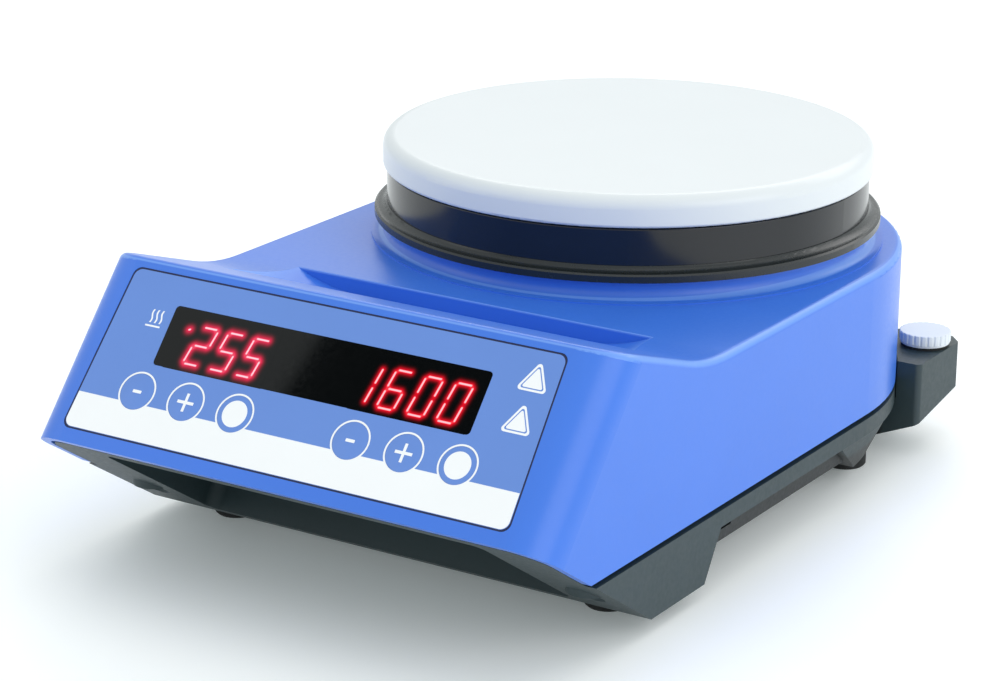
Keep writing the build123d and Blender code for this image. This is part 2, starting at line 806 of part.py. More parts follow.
plate_under_z = 78.5
element_z = 77.0
pressure_z = 75.8
shield_z = 66.6
shield_t = 0.8
stack_r = 52.2
centre_hole_r = 8.0
standoff_ring_r = 54.7
standoff_r = 2.2
standoff_seat_z = 64.9
standoff_spots = [
    (standoff_ring_r * cos(radians(a)), plate_y + standoff_ring_r * sin(radians(a)))
    for a in (90, 210, 330)
]

with BuildPart() as heating_plate:
    disc(plate_r, 0, plate_low_z, plate_top_z)
    fillet(edges().group_by(Axis.Z)[-1], 3.2)
    fillet(edges().group_by(Axis.Z)[0], 0.8)
    disc(60.0, 0, plate_low_z, plate_under_z, Mode.SUBTRACT)
save(heating_plate, "heating_plate")

with BuildPart() as heating_element:
    disc(stack_r, 12, element_z, plate_under_z)
save(heating_element, "heating_element")

with BuildPart() as pressure_plate:
    disc(stack_r, centre_hole_r, pressure_z, element_z)
save(pressure_plate, "pressure_plate")

with BuildPart() as insulation_disc:
    disc(stack_r, centre_hole_r, shield_z + shield_t, pressure_z)
save(insulation_disc, "insulation_disc")

with BuildPart() as heat_shield:
    disc(57.2, 0, shield_z, shield_z + shield_t)
    posts(standoff_spots, standoff_r + 0.1, shield_z, shield_z + shield_t, Mode.SUBTRACT)
save(heat_shield, "heat_shield")

with BuildPart() as plate_collar:
    turned(
        [
            (58.2, collar_low_z),
            (collar_r, collar_low_z),
            (collar_r, plate_low_z - 0.3),
            (collar_r - 1.7, plate_low_z - 0.3),
            (collar_r - 1.7, collar_low_z + 1),
            (58.2, collar_low_z + 1),
        ]
    )
    fillet(edges().group_by(Axis.Z)[-1].sort_by(SortBy.RADIUS)[-1], 0.4)
save(plate_collar, "plate_collar")

with BuildPart() as flange_ring:
    # broad lip on the neck, hollow curve up to the collar, spigot inside the neck
    with BuildSketch(axis_plane):
        with BuildLine():
            Polyline(
                (collar_r + 0.2, collar_low_z),
                (58.2, collar_low_z),
                (58.2, standoff_seat_z),
                (51.5, standoff_seat_z),
                (51.5, flange_low_z),
                (57.3, flange_low_z),
                (57.3, flange_low_z - 2.4),
                (neck_bore_r - 0.3, flange_low_z - 2.4),
                (neck_bore_r - 0.3, flange_low_z),
                (flange_r, flange_low_z),
                (flange_r, flange_low_z + 1.6),
                (flange_r - 0.5, flange_low_z + 2.0),
            )
            RadiusArc((flange_r - 0.5, flange_low_z + 2.0), (collar_r + 0.2, collar_low_z), 2.6)
        make_face()
    revolve(axis=plate_axis)
    posts(standoff_spots, 1.5, flange_low_z - 1, standoff_seat_z + 1, Mode.SUBTRACT)
save(flange_ring, "flange_ring")

with BuildPart() as plate_standoffs:
    posts(standoff_spots, standoff_r, standoff_seat_z, plate_under_z)
    posts(standoff_spots, standoff_r + 0.5, standoff_seat_z, shield_z)
    posts(standoff_spots, 1.5, standoff_seat_z, standoff_seat_z + 6, Mode.SUBTRACT)
save(plate_standoffs, "plate_standoffs")

with BuildPart() as standoff_screws:
    posts(standoff_spots, 2.4, flange_low_z - 1.8, flange_low_z)
    posts(standoff_spots, 1.5, flange_low_z, standoff_seat_z + 5)
save(standoff_screws, "standoff_screws")

with BuildPart() as plate_sensor:
    posts([(-4.2, plate_y)], 2.0, shield_z + shield_t, plate_under_z)
save(plate_sensor, "plate_sensor")

with BuildPart() as thermal_cutout:
    posts([(3.2, plate_y)], 3.6, plate_under_z - 5, plate_under_z)
    posts([(3.2, plate_y)], 1.2, shield_z + shield_t, plate_under_z - 5)
save(thermal_cutout, "thermal_cutout")

# ---------------------------------------------------------------- rear connector panel

panel_face_y = connector_y + connector_t
# local X is the bench X, local Y is up, extrusions go forward into the housing
rear_plane = Plane(origin=(0, panel_face_y, 0), x_dir=(1, 0, 0), z_dir=(0, -1, 0))
inlet_x = -13.0
inlet_body_w = 27.6
inlet_body_h = 20.0
inlet_flange_w = 31.0
inlet_flange_h = 24.0
inlet_cavity_w = 24.4
inlet_cavity_h = 16.6
inlet_cavity_depth = 15.0
inlet_depth = 20.0
bezel_t = 1.4
switch_x = 20.0
switch_body_h = 19.0
switch_opening_w = 10.4
switch_opening_h = 16.4
pivot_r = 1.2
pivot_y = panel_face_y - 1.5
rocker_tilt = 12.0

with BuildPart() as rear_panel:
    with BuildSketch(rear_plane):
        with Locations((0, connector_z)):
            Rectangle(2 * connector_x, connector_h)
        with Locations((inlet_x, connector_z)):
            Rectangle(inlet_body_w, inlet_body_h, mode=Mode.SUBTRACT)
        with Locations((switch_x, connector_z)):
            Rectangle(13, switch_body_h, mode=Mode.SUBTRACT)
        with Locations(*connector_screws):
            Circle(1.3, mode=Mode.SUBTRACT)
    extrude(amount=connector_t)
save(rear_panel, "rear_panel")

with BuildPart() as rear_panel_screws:
    with BuildSketch(rear_plane.offset(-1.4)):
        with Locations(*connector_screws):
            Circle(2.2)
    extrude(amount=1.4)
    fillet(edges().group_by(Axis.Y)[-1], 0.6)
    with BuildSketch(rear_plane):
        with Locations(*connector_screws):
            Circle(pilot_r)
    extrude(amount=connector_t + 2.8)
save(rear_panel_screws, "rear_panel_screws")

with BuildPart() as mains_inlet:
    with BuildSketch(rear_plane.offset(-bezel_t)):
        with Locations((inlet_x, connector_z)):
            RectangleRounded(inlet_flange_w, inlet_flange_h, 1.5)
    extrude(amount=bezel_t)
    with BuildSketch(rear_plane):
        with Locations((inlet_x, connector_z)):
            Rectangle(inlet_body_w, inlet_body_h)
    extrude(amount=inlet_depth)
    with BuildSketch(rear_plane.offset(-bezel_t)):
        with Locations((inlet_x, connector_z)):
            Rectangle(inlet_cavity_w, inlet_cavity_h)
        chamfer(vertices().group_by(Axis.Z)[-1], 4.6)
    extrude(amount=bezel_t + inlet_cavity_depth, mode=Mode.SUBTRACT)
    with BuildSketch(rear_plane.offset(inlet_cavity_depth)):
        with Locations((inlet_x - 7, connector_z - 2), (inlet_x + 7, connector_z - 2)):
            Rectangle(2, 4)
        with Locations((inlet_x, connector_z + 3)):
            Rectangle(2, 4)
    extrude(amount=inlet_depth, mode=Mode.SUBTRACT)
save(mains_inlet, "mains_inlet")

with BuildPart() as inlet_pins:
    with BuildSketch(rear_plane.offset(2.0)):
        with Locations((inlet_x - 7, connector_z - 2), (inlet_x + 7, connector_z - 2)):
            Rectangle(2, 4)
        with Locations((inlet_x, connector_z + 3)):
            Rectangle(2, 4)
    extrude(amount=inlet_depth + 5)
    chamfer(edges().group_by(Axis.Y)[-1], 0.4)
save(inlet_pins, "inlet_pins")

with BuildPart() as switch_frame:
    with BuildSketch(rear_plane.offset(-bezel_t)):
        with Locations((switch_x, connector_z)):
            RectangleRounded(15, 21, 1)
    extrude(amount=bezel_t)
    with BuildSketch(rear_plane):
        with Locations((switch_x, connector_z)):
            Rectangle(13, switch_body_h)
    extrude(amount=15)
    with BuildSketch(rear_plane.offset(-bezel_t)):
        with Locations((switch_x, connector_z)):
            Rectangle(switch_opening_w, switch_opening_h)
    extrude(amount=bezel_t + 9, mode=Mode.SUBTRACT)
    with BuildSketch(Plane.YZ.offset(switch_x - 6.3)):
        with Locations((pivot_y, connector_z)):
            Circle(pivot_r + 0.06)
    extrude(amount=12.6, mode=Mode.SUBTRACT)
save(switch_frame, "switch_frame")

with BuildPart() as rocker_form:
    with BuildSketch(Plane.YZ):
        with BuildLine():
            Polyline(
                (1.6, -7.4),
                (0.9, 0),
                (1.6, 7.4),
                (-1.4, 7.4),
                (-3.6, 2),
                (-3.6, -2),
                (-1.4, -7.4),
                close=True,
            )
        make_face()
    extrude(amount=4.8, both=True)
    fillet(edges().filter_by(Axis.X).group_by(Axis.Y)[-1], 0.5)
    with BuildSketch(Plane.YZ):
        Circle(pivot_r)
    extrude(amount=6.1, both=True)
with BuildPart() as power_rocker:
    with Locations(Location((switch_x, pivot_y, connector_z), (rocker_tilt, 0, 0))):
        add(rocker_form.part)
save(power_rocker, "power_rocker")

# ---------------------------------------------------------------- rod block and thread plug

block_top_z = 25.5
block_gap = 0.3
rod_spot = (63.8, 88.0)
rod_bore_r = 4.0
rod_bore_low_z = 13.5

with BuildPart() as rod_block:
    with BuildSketch(Plane.XY):
        with BuildLine():
            Polyline(
                (half_width, 71.2),
                (half_width, 94.5),
                (67.0, 98.5),
                (56.0, 98.5),
                (45.0, 91.5),
                (45.0, 71.2),
                close=True,
            )
        make_face()
    extrude(amount=block_top_z)
    disc(half_width + block_gap, 0, rim_low_z - 0.2, block_top_z + 1, Mode.SUBTRACT)
    disc(half_width - tub_inset + 0.1, 0, -1, rim_low_z, Mode.SUBTRACT)
    # underside rises outward
    with BuildSketch(
        Plane(origin=(62.8, 71.2, 6.0), x_dir=(0.9234, 0, 0.3838), z_dir=(-0.3791, -0.1624, 0.9121))
    ):
        Rectangle(300, 300)
    extrude(amount=-60, mode=Mode.SUBTRACT)
    fillet(edges().filter_by(Axis.Z).filter_by(lambda e: e.center().X > 66.5), 1.5)
    posts([rod_spot], rod_bore_r, rod_bore_low_z, block_top_z, Mode.SUBTRACT)
    for angle in block_screw_angles:
        with BuildSketch(block_screw_plane(angle, half_width - 6)):
            Circle(1.5)
        extrude(amount=9, mode=Mode.SUBTRACT)
save(rod_block, "rod_block")

with BuildPart() as block_screws:
    for angle in block_screw_angles:
        with BuildSketch(block_screw_plane(angle, 61.2)):
            Circle(2.7)
        extrude(amount=1.8)
        with BuildSketch(block_screw_plane(angle, 62)):
            Circle(1.5)
        extrude(amount=10)
save(block_screws, "block_screws")

seal_t = 0.8
washer_t = 0.6
cap_low_z = block_top_z + seal_t + washer_t
cap_r = 6.7
cap_h = 2.6
shank_r = 3.7

with BuildPart() as thread_plug:
    with BuildSketch(Plane.XY.offset(cap_low_z)):
        with Locations(rod_spot):
            Circle(cap_r)
        with Locations(rod_spot):
            with PolarLocations(cap_r + 0.25, 24):
                Circle(0.5, mode=Mode.SUBTRACT)
    extrude(amount=cap_h)
    fillet(edges().group_by(Axis.Z)[-1], 0.2)
    posts([rod_spot], shank_r, rod_bore_low_z + 1.5, cap_low_z)
save(thread_plug, "thread_plug")

with BuildPart() as plug_seal:
    posts([rod_spot], 6.2, block_top_z, block_top_z + seal_t)
    posts([rod_spot], shank_r + 0.3, block_top_z, block_top_z + seal_t, Mode.SUBTRACT)
save(plug_seal, "plug_seal")

with BuildPart() as plug_washer:
    posts([rod_spot], 6.4, block_top_z + seal_t, cap_low_z)
    posts([rod_spot], shank_r + 0.3, block_top_z + seal_t, cap_low_z, Mode.SUBTRACT)
save(plug_washer, "plug_washer")
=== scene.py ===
"""Hot-plate magnetic stirrer: the looks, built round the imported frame.

Lengths are in metres, and in millimetres for what is laid out on the sloping panel.
"""

import json
import math

import bmesh
import bpy
from mathutils import Matrix, Vector


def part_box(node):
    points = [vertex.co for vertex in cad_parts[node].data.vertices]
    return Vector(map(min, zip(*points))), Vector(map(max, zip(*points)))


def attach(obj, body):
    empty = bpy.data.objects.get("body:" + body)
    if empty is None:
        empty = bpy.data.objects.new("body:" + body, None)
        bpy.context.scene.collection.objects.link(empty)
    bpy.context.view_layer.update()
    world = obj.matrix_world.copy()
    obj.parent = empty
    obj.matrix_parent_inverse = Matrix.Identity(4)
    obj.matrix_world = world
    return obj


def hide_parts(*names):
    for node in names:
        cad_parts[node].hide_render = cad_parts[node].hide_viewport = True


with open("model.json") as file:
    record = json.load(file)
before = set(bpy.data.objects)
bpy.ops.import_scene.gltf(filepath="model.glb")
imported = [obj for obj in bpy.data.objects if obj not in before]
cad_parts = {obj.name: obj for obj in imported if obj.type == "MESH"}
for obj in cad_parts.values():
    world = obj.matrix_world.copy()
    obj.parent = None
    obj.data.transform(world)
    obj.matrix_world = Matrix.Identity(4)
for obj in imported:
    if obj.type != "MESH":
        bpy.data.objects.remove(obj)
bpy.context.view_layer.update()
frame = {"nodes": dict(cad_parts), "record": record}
scene = bpy.context.scene
nodes = frame["nodes"]

MM = 0.001
BODY = "stirrer_body"


# ---------------------------------------------------------------- materials


# settings that every surface shares
DRIFT_SCALE = 38.0
DRIFT_DETAIL = 3.0
GRAIN_DETAIL = 4.0
GRAIN_DEPTH = 0.00005
LEAST_ROUGH = 0.02
NOISE_LOW = 0.3
NOISE_HIGH = 0.7


def tone(red, green, blue):
    """Linear colour from the 0 to 255 values that a screen shows."""
    return tuple(
        ((c / 255 + 0.055) / 1.055) ** 2.4 if c > 10 else c / 255 / 12.92
        for c in (red, green, blue)
    )


def shade(color, factor):
    """The colour made lighter or darker, with its alpha."""
    return tuple(min(1.0, c * factor) for c in color) + (1.0,)


def surface(
    name, color, rough, grain=0.0, grain_scale=900.0, drift=0.05, rough_drift=0.05, **sockets
):
    """Moulded or painted surface: a slow drift of colour, a fine grain in the gloss and the bump."""
    material = bpy.data.materials.new(name)
    material.use_nodes = True
    tree = material.node_tree
    shader = tree.nodes["Principled BSDF"]
    for socket, value in sockets.items():
        shader.inputs[socket.replace("_", " ")].default_value = value
    place = tree.nodes.new("ShaderNodeTexCoord")
    slow = tree.nodes.new("ShaderNodeTexNoise")
    slow.inputs["Scale"].default_value = DRIFT_SCALE
    slow.inputs["Detail"].default_value = DRIFT_DETAIL
    tree.links.new(place.outputs["Object"], slow.inputs["Vector"])
    hue = tree.nodes.new("ShaderNodeValToRGB")
    hue.color_ramp.elements[0].position = NOISE_LOW
    hue.color_ramp.elements[0].color = shade(color, 1 - drift)
    hue.color_ramp.elements[1].position = NOISE_HIGH
    hue.color_ramp.elements[1].color = shade(color, 1 + drift)
    tree.links.new(slow.outputs["Fac"], hue.inputs["Fac"])
    tree.links.new(hue.outputs["Color"], shader.inputs["Base Color"])
    fine = tree.nodes.new("ShaderNodeTexNoise")
    fine.inputs["Scale"].default_value = grain_scale
    fine.inputs["Detail"].default_value = GRAIN_DETAIL
    tree.links.new(place.outputs["Object"], fine.inputs["Vector"])
    gloss = tree.nodes.new("ShaderNodeMapRange")
    gloss.inputs["From Min"].default_value = NOISE_LOW
    gloss.inputs["From Max"].default_value = NOISE_HIGH
    gloss.inputs["To Min"].default_value = max(LEAST_ROUGH, rough - rough_drift)
    gloss.inputs["To Max"].default_value = min(1.0, rough + rough_drift)
    tree.links.new(fine.outputs["Fac"], gloss.inputs["Value"])
    tree.links.new(gloss.outputs["Result"], shader.inputs["Roughness"])
    if grain > 0:
        bump = tree.nodes.new("ShaderNodeBump")
        bump.inputs["Strength"].default_value = grain
        bump.inputs["Distance"].default_value = GRAIN_DEPTH
        tree.links.new(fine.outputs["Fac"], bump.inputs["Height"])
        tree.links.new(bump.outputs["Normal"], shader.inputs["Normal"])
    return material


# how bright a point of the read-out is when the halo's colour is at its full
HALO_STOP = 0.6


def glowing(name, halo, power, heart):
    """Lit pane: dark, then the halo's colour, then the heart's, by the point attribute "lit"."""
    material = surface(name, PANE, PANE_ROUGH, rough_drift=PANE_DRIFT, IOR=PANE_IOR)
    tree = material.node_tree
    shader = tree.nodes["Principled BSDF"]
    lit = tree.nodes.new("ShaderNodeAttribute")
    lit.attribute_name = "lit"
    ramp = tree.nodes.new("ShaderNodeValToRGB")
    ramp.color_ramp.elements[0].color = (0.0, 0.0, 0.0, 1.0)
    ramp.color_ramp.elements[1].color = (*heart, 1.0)
    middle = ramp.color_ramp.elements.new(HALO_STOP)
    middle.color = (*halo, 1.0)
    tree.links.new(lit.outputs["Fac"], ramp.inputs["Fac"])
    tree.links.new(ramp.outputs["Color"], shader.inputs["Emission Color"])
    shader.inputs["Emission Strength"].default_value = power
    return material


# share of the painted highlight's colour at each height of the surface's normal
HIGHLIGHT_STOPS = ((0.15, 0.0), (0.45, 1.0), (0.88, 1.0), (0.94, 0.0))
FORWARD_LEAN = 0.95
LEAN_BLEND = 0.12


def painted_edge_highlight(material, highlight_color):
    """Painted highlight on the rounded upper edges, picked out by the way the surface faces."""
    tree = material.node_tree
    shader = tree.nodes["Principled BSDF"]
    paint_link = shader.inputs["Base Color"].links[0].from_socket
    shape = tree.nodes.new("ShaderNodeNewGeometry")
    split = tree.nodes.new("ShaderNodeSeparateXYZ")
    tree.links.new(shape.outputs["Normal"], split.inputs["Vector"])
    upward = tree.nodes.new("ShaderNodeValToRGB")
    for position, value in HIGHLIGHT_STOPS:
        stop = upward.color_ramp.elements.new(position)
        stop.color = (value, value, value, 1.0)
    upward.color_ramp.elements.remove(upward.color_ramp.elements[0])
    upward.color_ramp.elements.remove(upward.color_ramp.elements[-1])
    tree.links.new(split.outputs["Z"], upward.inputs["Fac"])
    # the sloping panel and its round flanks face forward more than these edges do
    lean = tree.nodes.new("ShaderNodeMath")
    lean.operation = "MULTIPLY_ADD"
    tree.links.new(split.outputs["Z"], lean.inputs[0])
    lean.inputs[1].default_value = FORWARD_LEAN
    tree.links.new(split.outputs["Y"], lean.inputs[2])
    aft = tree.nodes.new("ShaderNodeMapRange")
    aft.inputs["From Min"].default_value = 0.0
    aft.inputs["From Max"].default_value = LEAN_BLEND
    tree.links.new(lean.outputs["Value"], aft.inputs["Value"])
    mask = tree.nodes.new("ShaderNodeMath")
    mask.operation = "MULTIPLY"
    tree.links.new(upward.outputs["Color"], mask.inputs[0])
    tree.links.new(aft.outputs["Result"], mask.inputs[1])
    mix = tree.nodes.new("ShaderNodeMix")
    mix.data_type = "RGBA"
    tree.links.new(mask.outputs["Value"], mix.inputs["Factor"])
    tree.links.new(paint_link, mix.inputs["A"])
    mix.inputs["B"].default_value = (*highlight_color, 1.0)
    tree.links.new(mix.outputs["Result"], shader.inputs["Base Color"])
    return material


# where the rim of the base and the backs of its front legs lie, in metres on the frame's axes
AXIS_Y = (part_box("heating_plate")[0].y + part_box("heating_plate")[1].y) / 2
RIM_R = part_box("base_tray")[1].x
RIM_LOW = 0.0156
LEG_BACK = -0.0346
# how far the tub stands back under the rim, and the widths over which the painted shade fades in
RIM_INSET = 0.0025
RECESS_BLEND = 0.001
RIM_BLEND = 0.0001


def painted_recess_shade(material, dark):
    """Painted shade where the tub stands back under the rim, behind the front legs."""
    tree = material.node_tree
    shader = tree.nodes["Principled BSDF"]
    paint_link = shader.inputs["Base Color"].links[0].from_socket
    place = tree.nodes.new("ShaderNodeTexCoord")
    split = tree.nodes.new("ShaderNodeSeparateXYZ")
    tree.links.new(place.outputs["Object"], split.inputs["Vector"])

    def ramp_of(value, low, high):
        step = tree.nodes.new("ShaderNodeMapRange")
        step.inputs["From Min"].default_value = low
        step.inputs["From Max"].default_value = high
        tree.links.new(value, step.inputs["Value"])
        return step.outputs["Result"]

    def combined(kind, first, second):
        node = tree.nodes.new("ShaderNodeMath")
        node.operation = kind
        for socket, value in zip(node.inputs, (first, second)):
            if isinstance(value, float):
                socket.default_value = value
            else:
                tree.links.new(value, socket)
        return node.outputs["Value"]

    behind = combined("MAXIMUM", combined("SUBTRACT", split.outputs["Y"], AXIS_Y), 0.0)
    across = combined("POWER", combined("ABSOLUTE", split.outputs["X"], 0.0), 2.0)
    reach = combined("POWER", combined("ADD", across, combined("POWER", behind, 2.0)), 0.5)
    inset = ramp_of(reach, RIM_R - RIM_INSET, RIM_R - RIM_INSET - RECESS_BLEND)
    under = ramp_of(split.outputs["Z"], RIM_LOW + RIM_BLEND, RIM_LOW - RIM_BLEND)
    aft = ramp_of(split.outputs["Y"], LEG_BACK - RECESS_BLEND, LEG_BACK)
    mask = combined("MULTIPLY", combined("MULTIPLY", inset, under), aft)
    mix = tree.nodes.new("ShaderNodeMix")
    mix.data_type = "RGBA"
    tree.links.new(mask, mix.inputs["Factor"])
    tree.links.new(paint_link, mix.inputs["A"])
    mix.inputs["B"].default_value = (*dark, 1.0)
    tree.links.new(mix.outputs["Result"], shader.inputs["Base Color"])
    return material


BLUE = tone(60, 118, 222)
# lighter blue for the painted highlight on the housing's rounded upper edges
BLUE_PAINTED_HIGHLIGHT = tone(104, 152, 236)
DARK = tone(42, 58, 62)
# darker grey for the painted shade in the tub under the base's rim
RECESS_PAINTED_SHADE = tone(26, 32, 35)
PRINT_BLUE = tone(98, 138, 214)
PANE = tone(9, 11, 12)
PANE_ROUGH = 0.06
PANE_DRIFT = 0.02
PANE_IOR = 1.36

paint = {
    "housing_blue": surface("blue_housing", BLUE, 0.32, grain=0.12, drift=0.02, rough_drift=0.03),
    "base_grey": surface("grey_base", DARK, 0.5, grain=0.35, drift=0.06),
    "foil_blue": surface("foil_print_blue", PRINT_BLUE, 0.45, grain=0.12, drift=0.02),
    "window_smoke": surface("smoked_pane", PANE, PANE_ROUGH, rough_drift=PANE_DRIFT, IOR=PANE_IOR),
    "key_print": surface("key_print_blue", PRINT_BLUE, 0.45, grain=0.12, drift=0.02),
    "switch_black": surface("switch_black", tone(22, 22, 24), 0.5),
    "module_red": surface("display_block", tone(30, 10, 14), 0.35),
    "board_green": surface("solder_mask", tone(18, 90, 52), 0.35, drift=0.12),
    "screw_steel": surface("zinc_screw", tone(190, 192, 196), 0.32, Metallic=1.0),
    "foot_rubber": surface("black_rubber", tone(26, 28, 29), 0.8, grain=0.5),
    "core_steel": surface("laminated_core", tone(92, 92, 98), 0.5, Metallic=0.8),
    "capacitor_sleeve": surface("capacitor_sleeve", tone(34, 40, 92), 0.3),
    "relay_case": surface("relay_case", tone(38, 62, 140), 0.35),
    "sink_aluminium": surface("heat_sink", tone(196, 198, 202), 0.4, Metallic=1.0),
    "fuse_glass": surface("fuse_tube", tone(226, 224, 214), 0.25),
    "motor_steel": surface("motor_case", tone(150, 152, 156), 0.4, Metallic=0.9),
    "bracket_steel": surface("pressed_steel", tone(168, 170, 174), 0.42, Metallic=1.0),
    "coil_copper": surface(
        "enamelled_copper", tone(190, 98, 48), 0.3, grain=0.6, grain_scale=2200.0, Metallic=0.9
    ),
    "bearing_steel": surface("ground_steel", tone(196, 198, 200), 0.2, Metallic=1.0),
    "shaft_steel": surface("shaft_steel", tone(202, 204, 206), 0.2, Metallic=1.0),
    "fan_plastic": surface("fan_black", tone(34, 34, 36), 0.45),
    "carrier_aluminium": surface("turned_aluminium", tone(190, 192, 196), 0.35, Metallic=1.0),
    "magnet_ferrite": surface("ferrite", tone(44, 44, 46), 0.55),
    "plate_white": surface("white_enamel", tone(219, 224, 227), 0.3, drift=0.006, rough_drift=0.01),
    "element_mica": surface("mica", tone(168, 154, 120), 0.6),
    "pressure_steel": surface("pressure_sheet", tone(160, 160, 160), 0.4, Metallic=1.0),
    "insulation_fibre": surface("mineral_fibre", tone(222, 216, 198), 0.95, grain=1.0),
    "shield_aluminium": surface("shield_sheet", tone(200, 200, 204), 0.3, Metallic=1.0),
    "collar_black": surface("black_enamel", tone(16, 20, 26), 0.16, drift=0.1, rough_drift=0.01),
    "flange_black": surface("black_resin", tone(26, 32, 34), 0.26, drift=0.1, rough_drift=0.02),
    "connector_grey": surface("connector_grey", tone(58, 66, 70), 0.5, grain=0.35),
    "inlet_black": surface("inlet_black", tone(22, 22, 24), 0.4, grain=0.2),
    "pin_brass": surface("plated_pin", tone(206, 196, 160), 0.25, Metallic=1.0),
    "rocker_black": surface("rocker_black", tone(20, 20, 22), 0.25),
    "plug_steel": surface("light_knob", tone(222, 228, 234), 0.4, grain=0.15, drift=0.02),
    "washer_light": surface("light_washer", tone(214, 220, 226), 0.4),
}
# painted highlight: lighter blue on the housing's rounded upper edges, where the fillets catch the
# light
paint["housing_blue"] = painted_edge_highlight(paint["housing_blue"], BLUE_PAINTED_HIGHLIGHT)
# painted shade: the base's tub under the rim darkened, behind the front legs
paint["base_grey"] = painted_recess_shade(paint["base_grey"], RECESS_PAINTED_SHADE)
print_white = surface("print_white", tone(246, 248, 250), 0.45, grain=0.1, drift=0.01)

slot_of = {row["node"]: row["material_slot"] for row in frame["record"]["subparts"]}
for name, node in nodes.items():
    node.data.materials.clear()
    node.data.materials.append(paint[slot_of[name]])


# ---------------------------------------------------------------- the sloping panel


UPWARD = 0.2
PARALLEL = 0.9999


def widest_face(node):
    """Outward normal of a CAD node's largest upward facet, and how far out its plane lies."""
    faces = [f for f in node.data.polygons if f.normal.z > UPWARD]
    normal = max(faces, key=lambda f: f.area).normal.copy()
    level = [f for f in faces if f.normal.dot(normal) > PARALLEL]
    top = max(f.center.dot(normal) for f in level)
    return normal, top


panel_normal, panel_level = widest_face(nodes["front_foil"])
panel_up = panel_normal.cross(Vector((1, 0, 0)))
foil_low, foil_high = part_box("front_foil")
middle = (foil_low + foil_high) / 2
middle.x = 0
panel_origin = middle + panel_normal * (panel_level - middle.dot(panel_normal))
# local X runs right, local Y up the slope, local Z out of the panel
panel = Matrix(
    (
        (1, panel_up.x, panel_normal.x, panel_origin.x),
        (0, panel_up.y, panel_normal.y, panel_origin.y),
        (0, panel_up.z, panel_normal.z, panel_origin.z),
        (0, 0, 0, 1),
    )
)

# the panel's own layout, in millimetres from the middle of the foil
FOIL_FOOT = 60.45
FOIL_HEAD = 58.75
FOIL_HALF_H = 20.5
FOIL_R = 2.1
FOIL_T = 0.6
FOIL_BEVEL = 0.05
KEY_Y = -8.85
KEY_X = {
    "cooler": -44.4,
    "hotter": -30.5,
    "heater": -16.6,
    "slower": 15.0,
    "faster": 29.1,
    "stirrer": 43.1,
}
CAP_R = 4.5
RING_R = 4.97
KEY_GAP = 0.02
WINDOW_X = -0.3
WINDOW_Y = 5.9
WINDOW_W = 86.5
WINDOW_H = 15.2
WINDOW_R = 1.0
BAND_TOP = -11.75
PRINT_T = 0.03


def circle(x, y, r, count=96):
    """Circle as a closed outline."""
    return [
        (x + r * math.cos(2 * math.pi * i / count), y + r * math.sin(2 * math.pi * i / count))
        for i in range(count)
    ]


def corner(x, y, r, start, count=10):
    """Quarter circle from a starting angle."""
    angles = [start + math.pi / 2 * i / count for i in range(count + 1)]
    return [(x + r * math.cos(angle), y + r * math.sin(angle)) for angle in angles]


def rounded(x0, y0, x1, y1, r, count=10):
    """Rounded rectangle."""
    corners = [(x1 - r, y1 - r), (x0 + r, y1 - r), (x0 + r, y0 + r), (x1 - r, y0 + r)]
    points = []
    for turn, (x, y) in enumerate(corners):
        points += corner(x, y, r, turn * math.pi / 2, count)
    return points


def softened(points, radii, count=10):
    """Closed outline with a rounded corner at each point, one radius each; 0 leaves it sharp."""
    result = []
    for i, (here, radius) in enumerate(zip(points, radii)):
        spot = Vector(here)
        if radius <= 0:
            result.append(tuple(spot))
            continue
        back = (Vector(points[i - 1]) - spot).normalized()
        on = (Vector(points[(i + 1) % len(points)]) - spot).normalized()
        half = math.acos(max(-1.0, min(1.0, back.dot(on)))) / 2
        centre = spot + (back + on).normalized() * (radius / math.sin(half))
        start = spot + back * (radius / math.tan(half)) - centre
        finish = spot + on * (radius / math.tan(half)) - centre
        sweep = math.atan2(start.x * finish.y - start.y * finish.x, start.dot(finish))
        for k in range(count + 1):
            turn = sweep * k / count
            result.append(
                (
                    centre.x + start.x * math.cos(turn) - start.y * math.sin(turn),
                    centre.y + start.x * math.sin(turn) + start.y * math.cos(turn),
                )
            )
    return result


def flat_piece(name, outlines, low, high, material, body=BODY, bevel=0.0, place=panel):
    """Sheet with holes: closed outlines in millimetres, filled and thickened from low to high."""
    curve = bpy.data.curves.new(name, "CURVE")
    curve.dimensions = "2D"
    curve.fill_mode = "BOTH"
    for outline in outlines:
        spline = curve.splines.new("POLY")
        spline.points.add(len(outline) - 1)
        for point, (x, y) in zip(spline.points, outline):
            point.co = (x * MM, y * MM, 0, 1)
        spline.use_cyclic_u = True
    curve.extrude = (high - low) / 2 * MM - bevel * MM
    curve.bevel_depth = bevel * MM
    curve.bevel_resolution = 2
    curve.offset = -bevel * MM
    holder = bpy.data.objects.new(name + "_outline", curve)
    scene.collection.objects.link(holder)
    bpy.context.view_layer.update()
    mesh = bpy.data.meshes.new_from_object(holder)
    bpy.data.objects.remove(holder)
    piece = bpy.data.objects.new(name, mesh)
    mesh.name = name
    scene.collection.objects.link(piece)
    mesh.materials.clear()
    mesh.materials.append(material)
    piece.matrix_world = place @ Matrix.Translation((0, 0, (low + high) / 2 * MM))
    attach(piece, body)
    return piece


def foil_half(y):
    """Half width of the foil at a height: it narrows towards its head."""
    share = (y + FOIL_HALF_H) / (2 * FOIL_HALF_H)
    return FOIL_FOOT + (FOIL_HEAD - FOIL_FOOT) * share


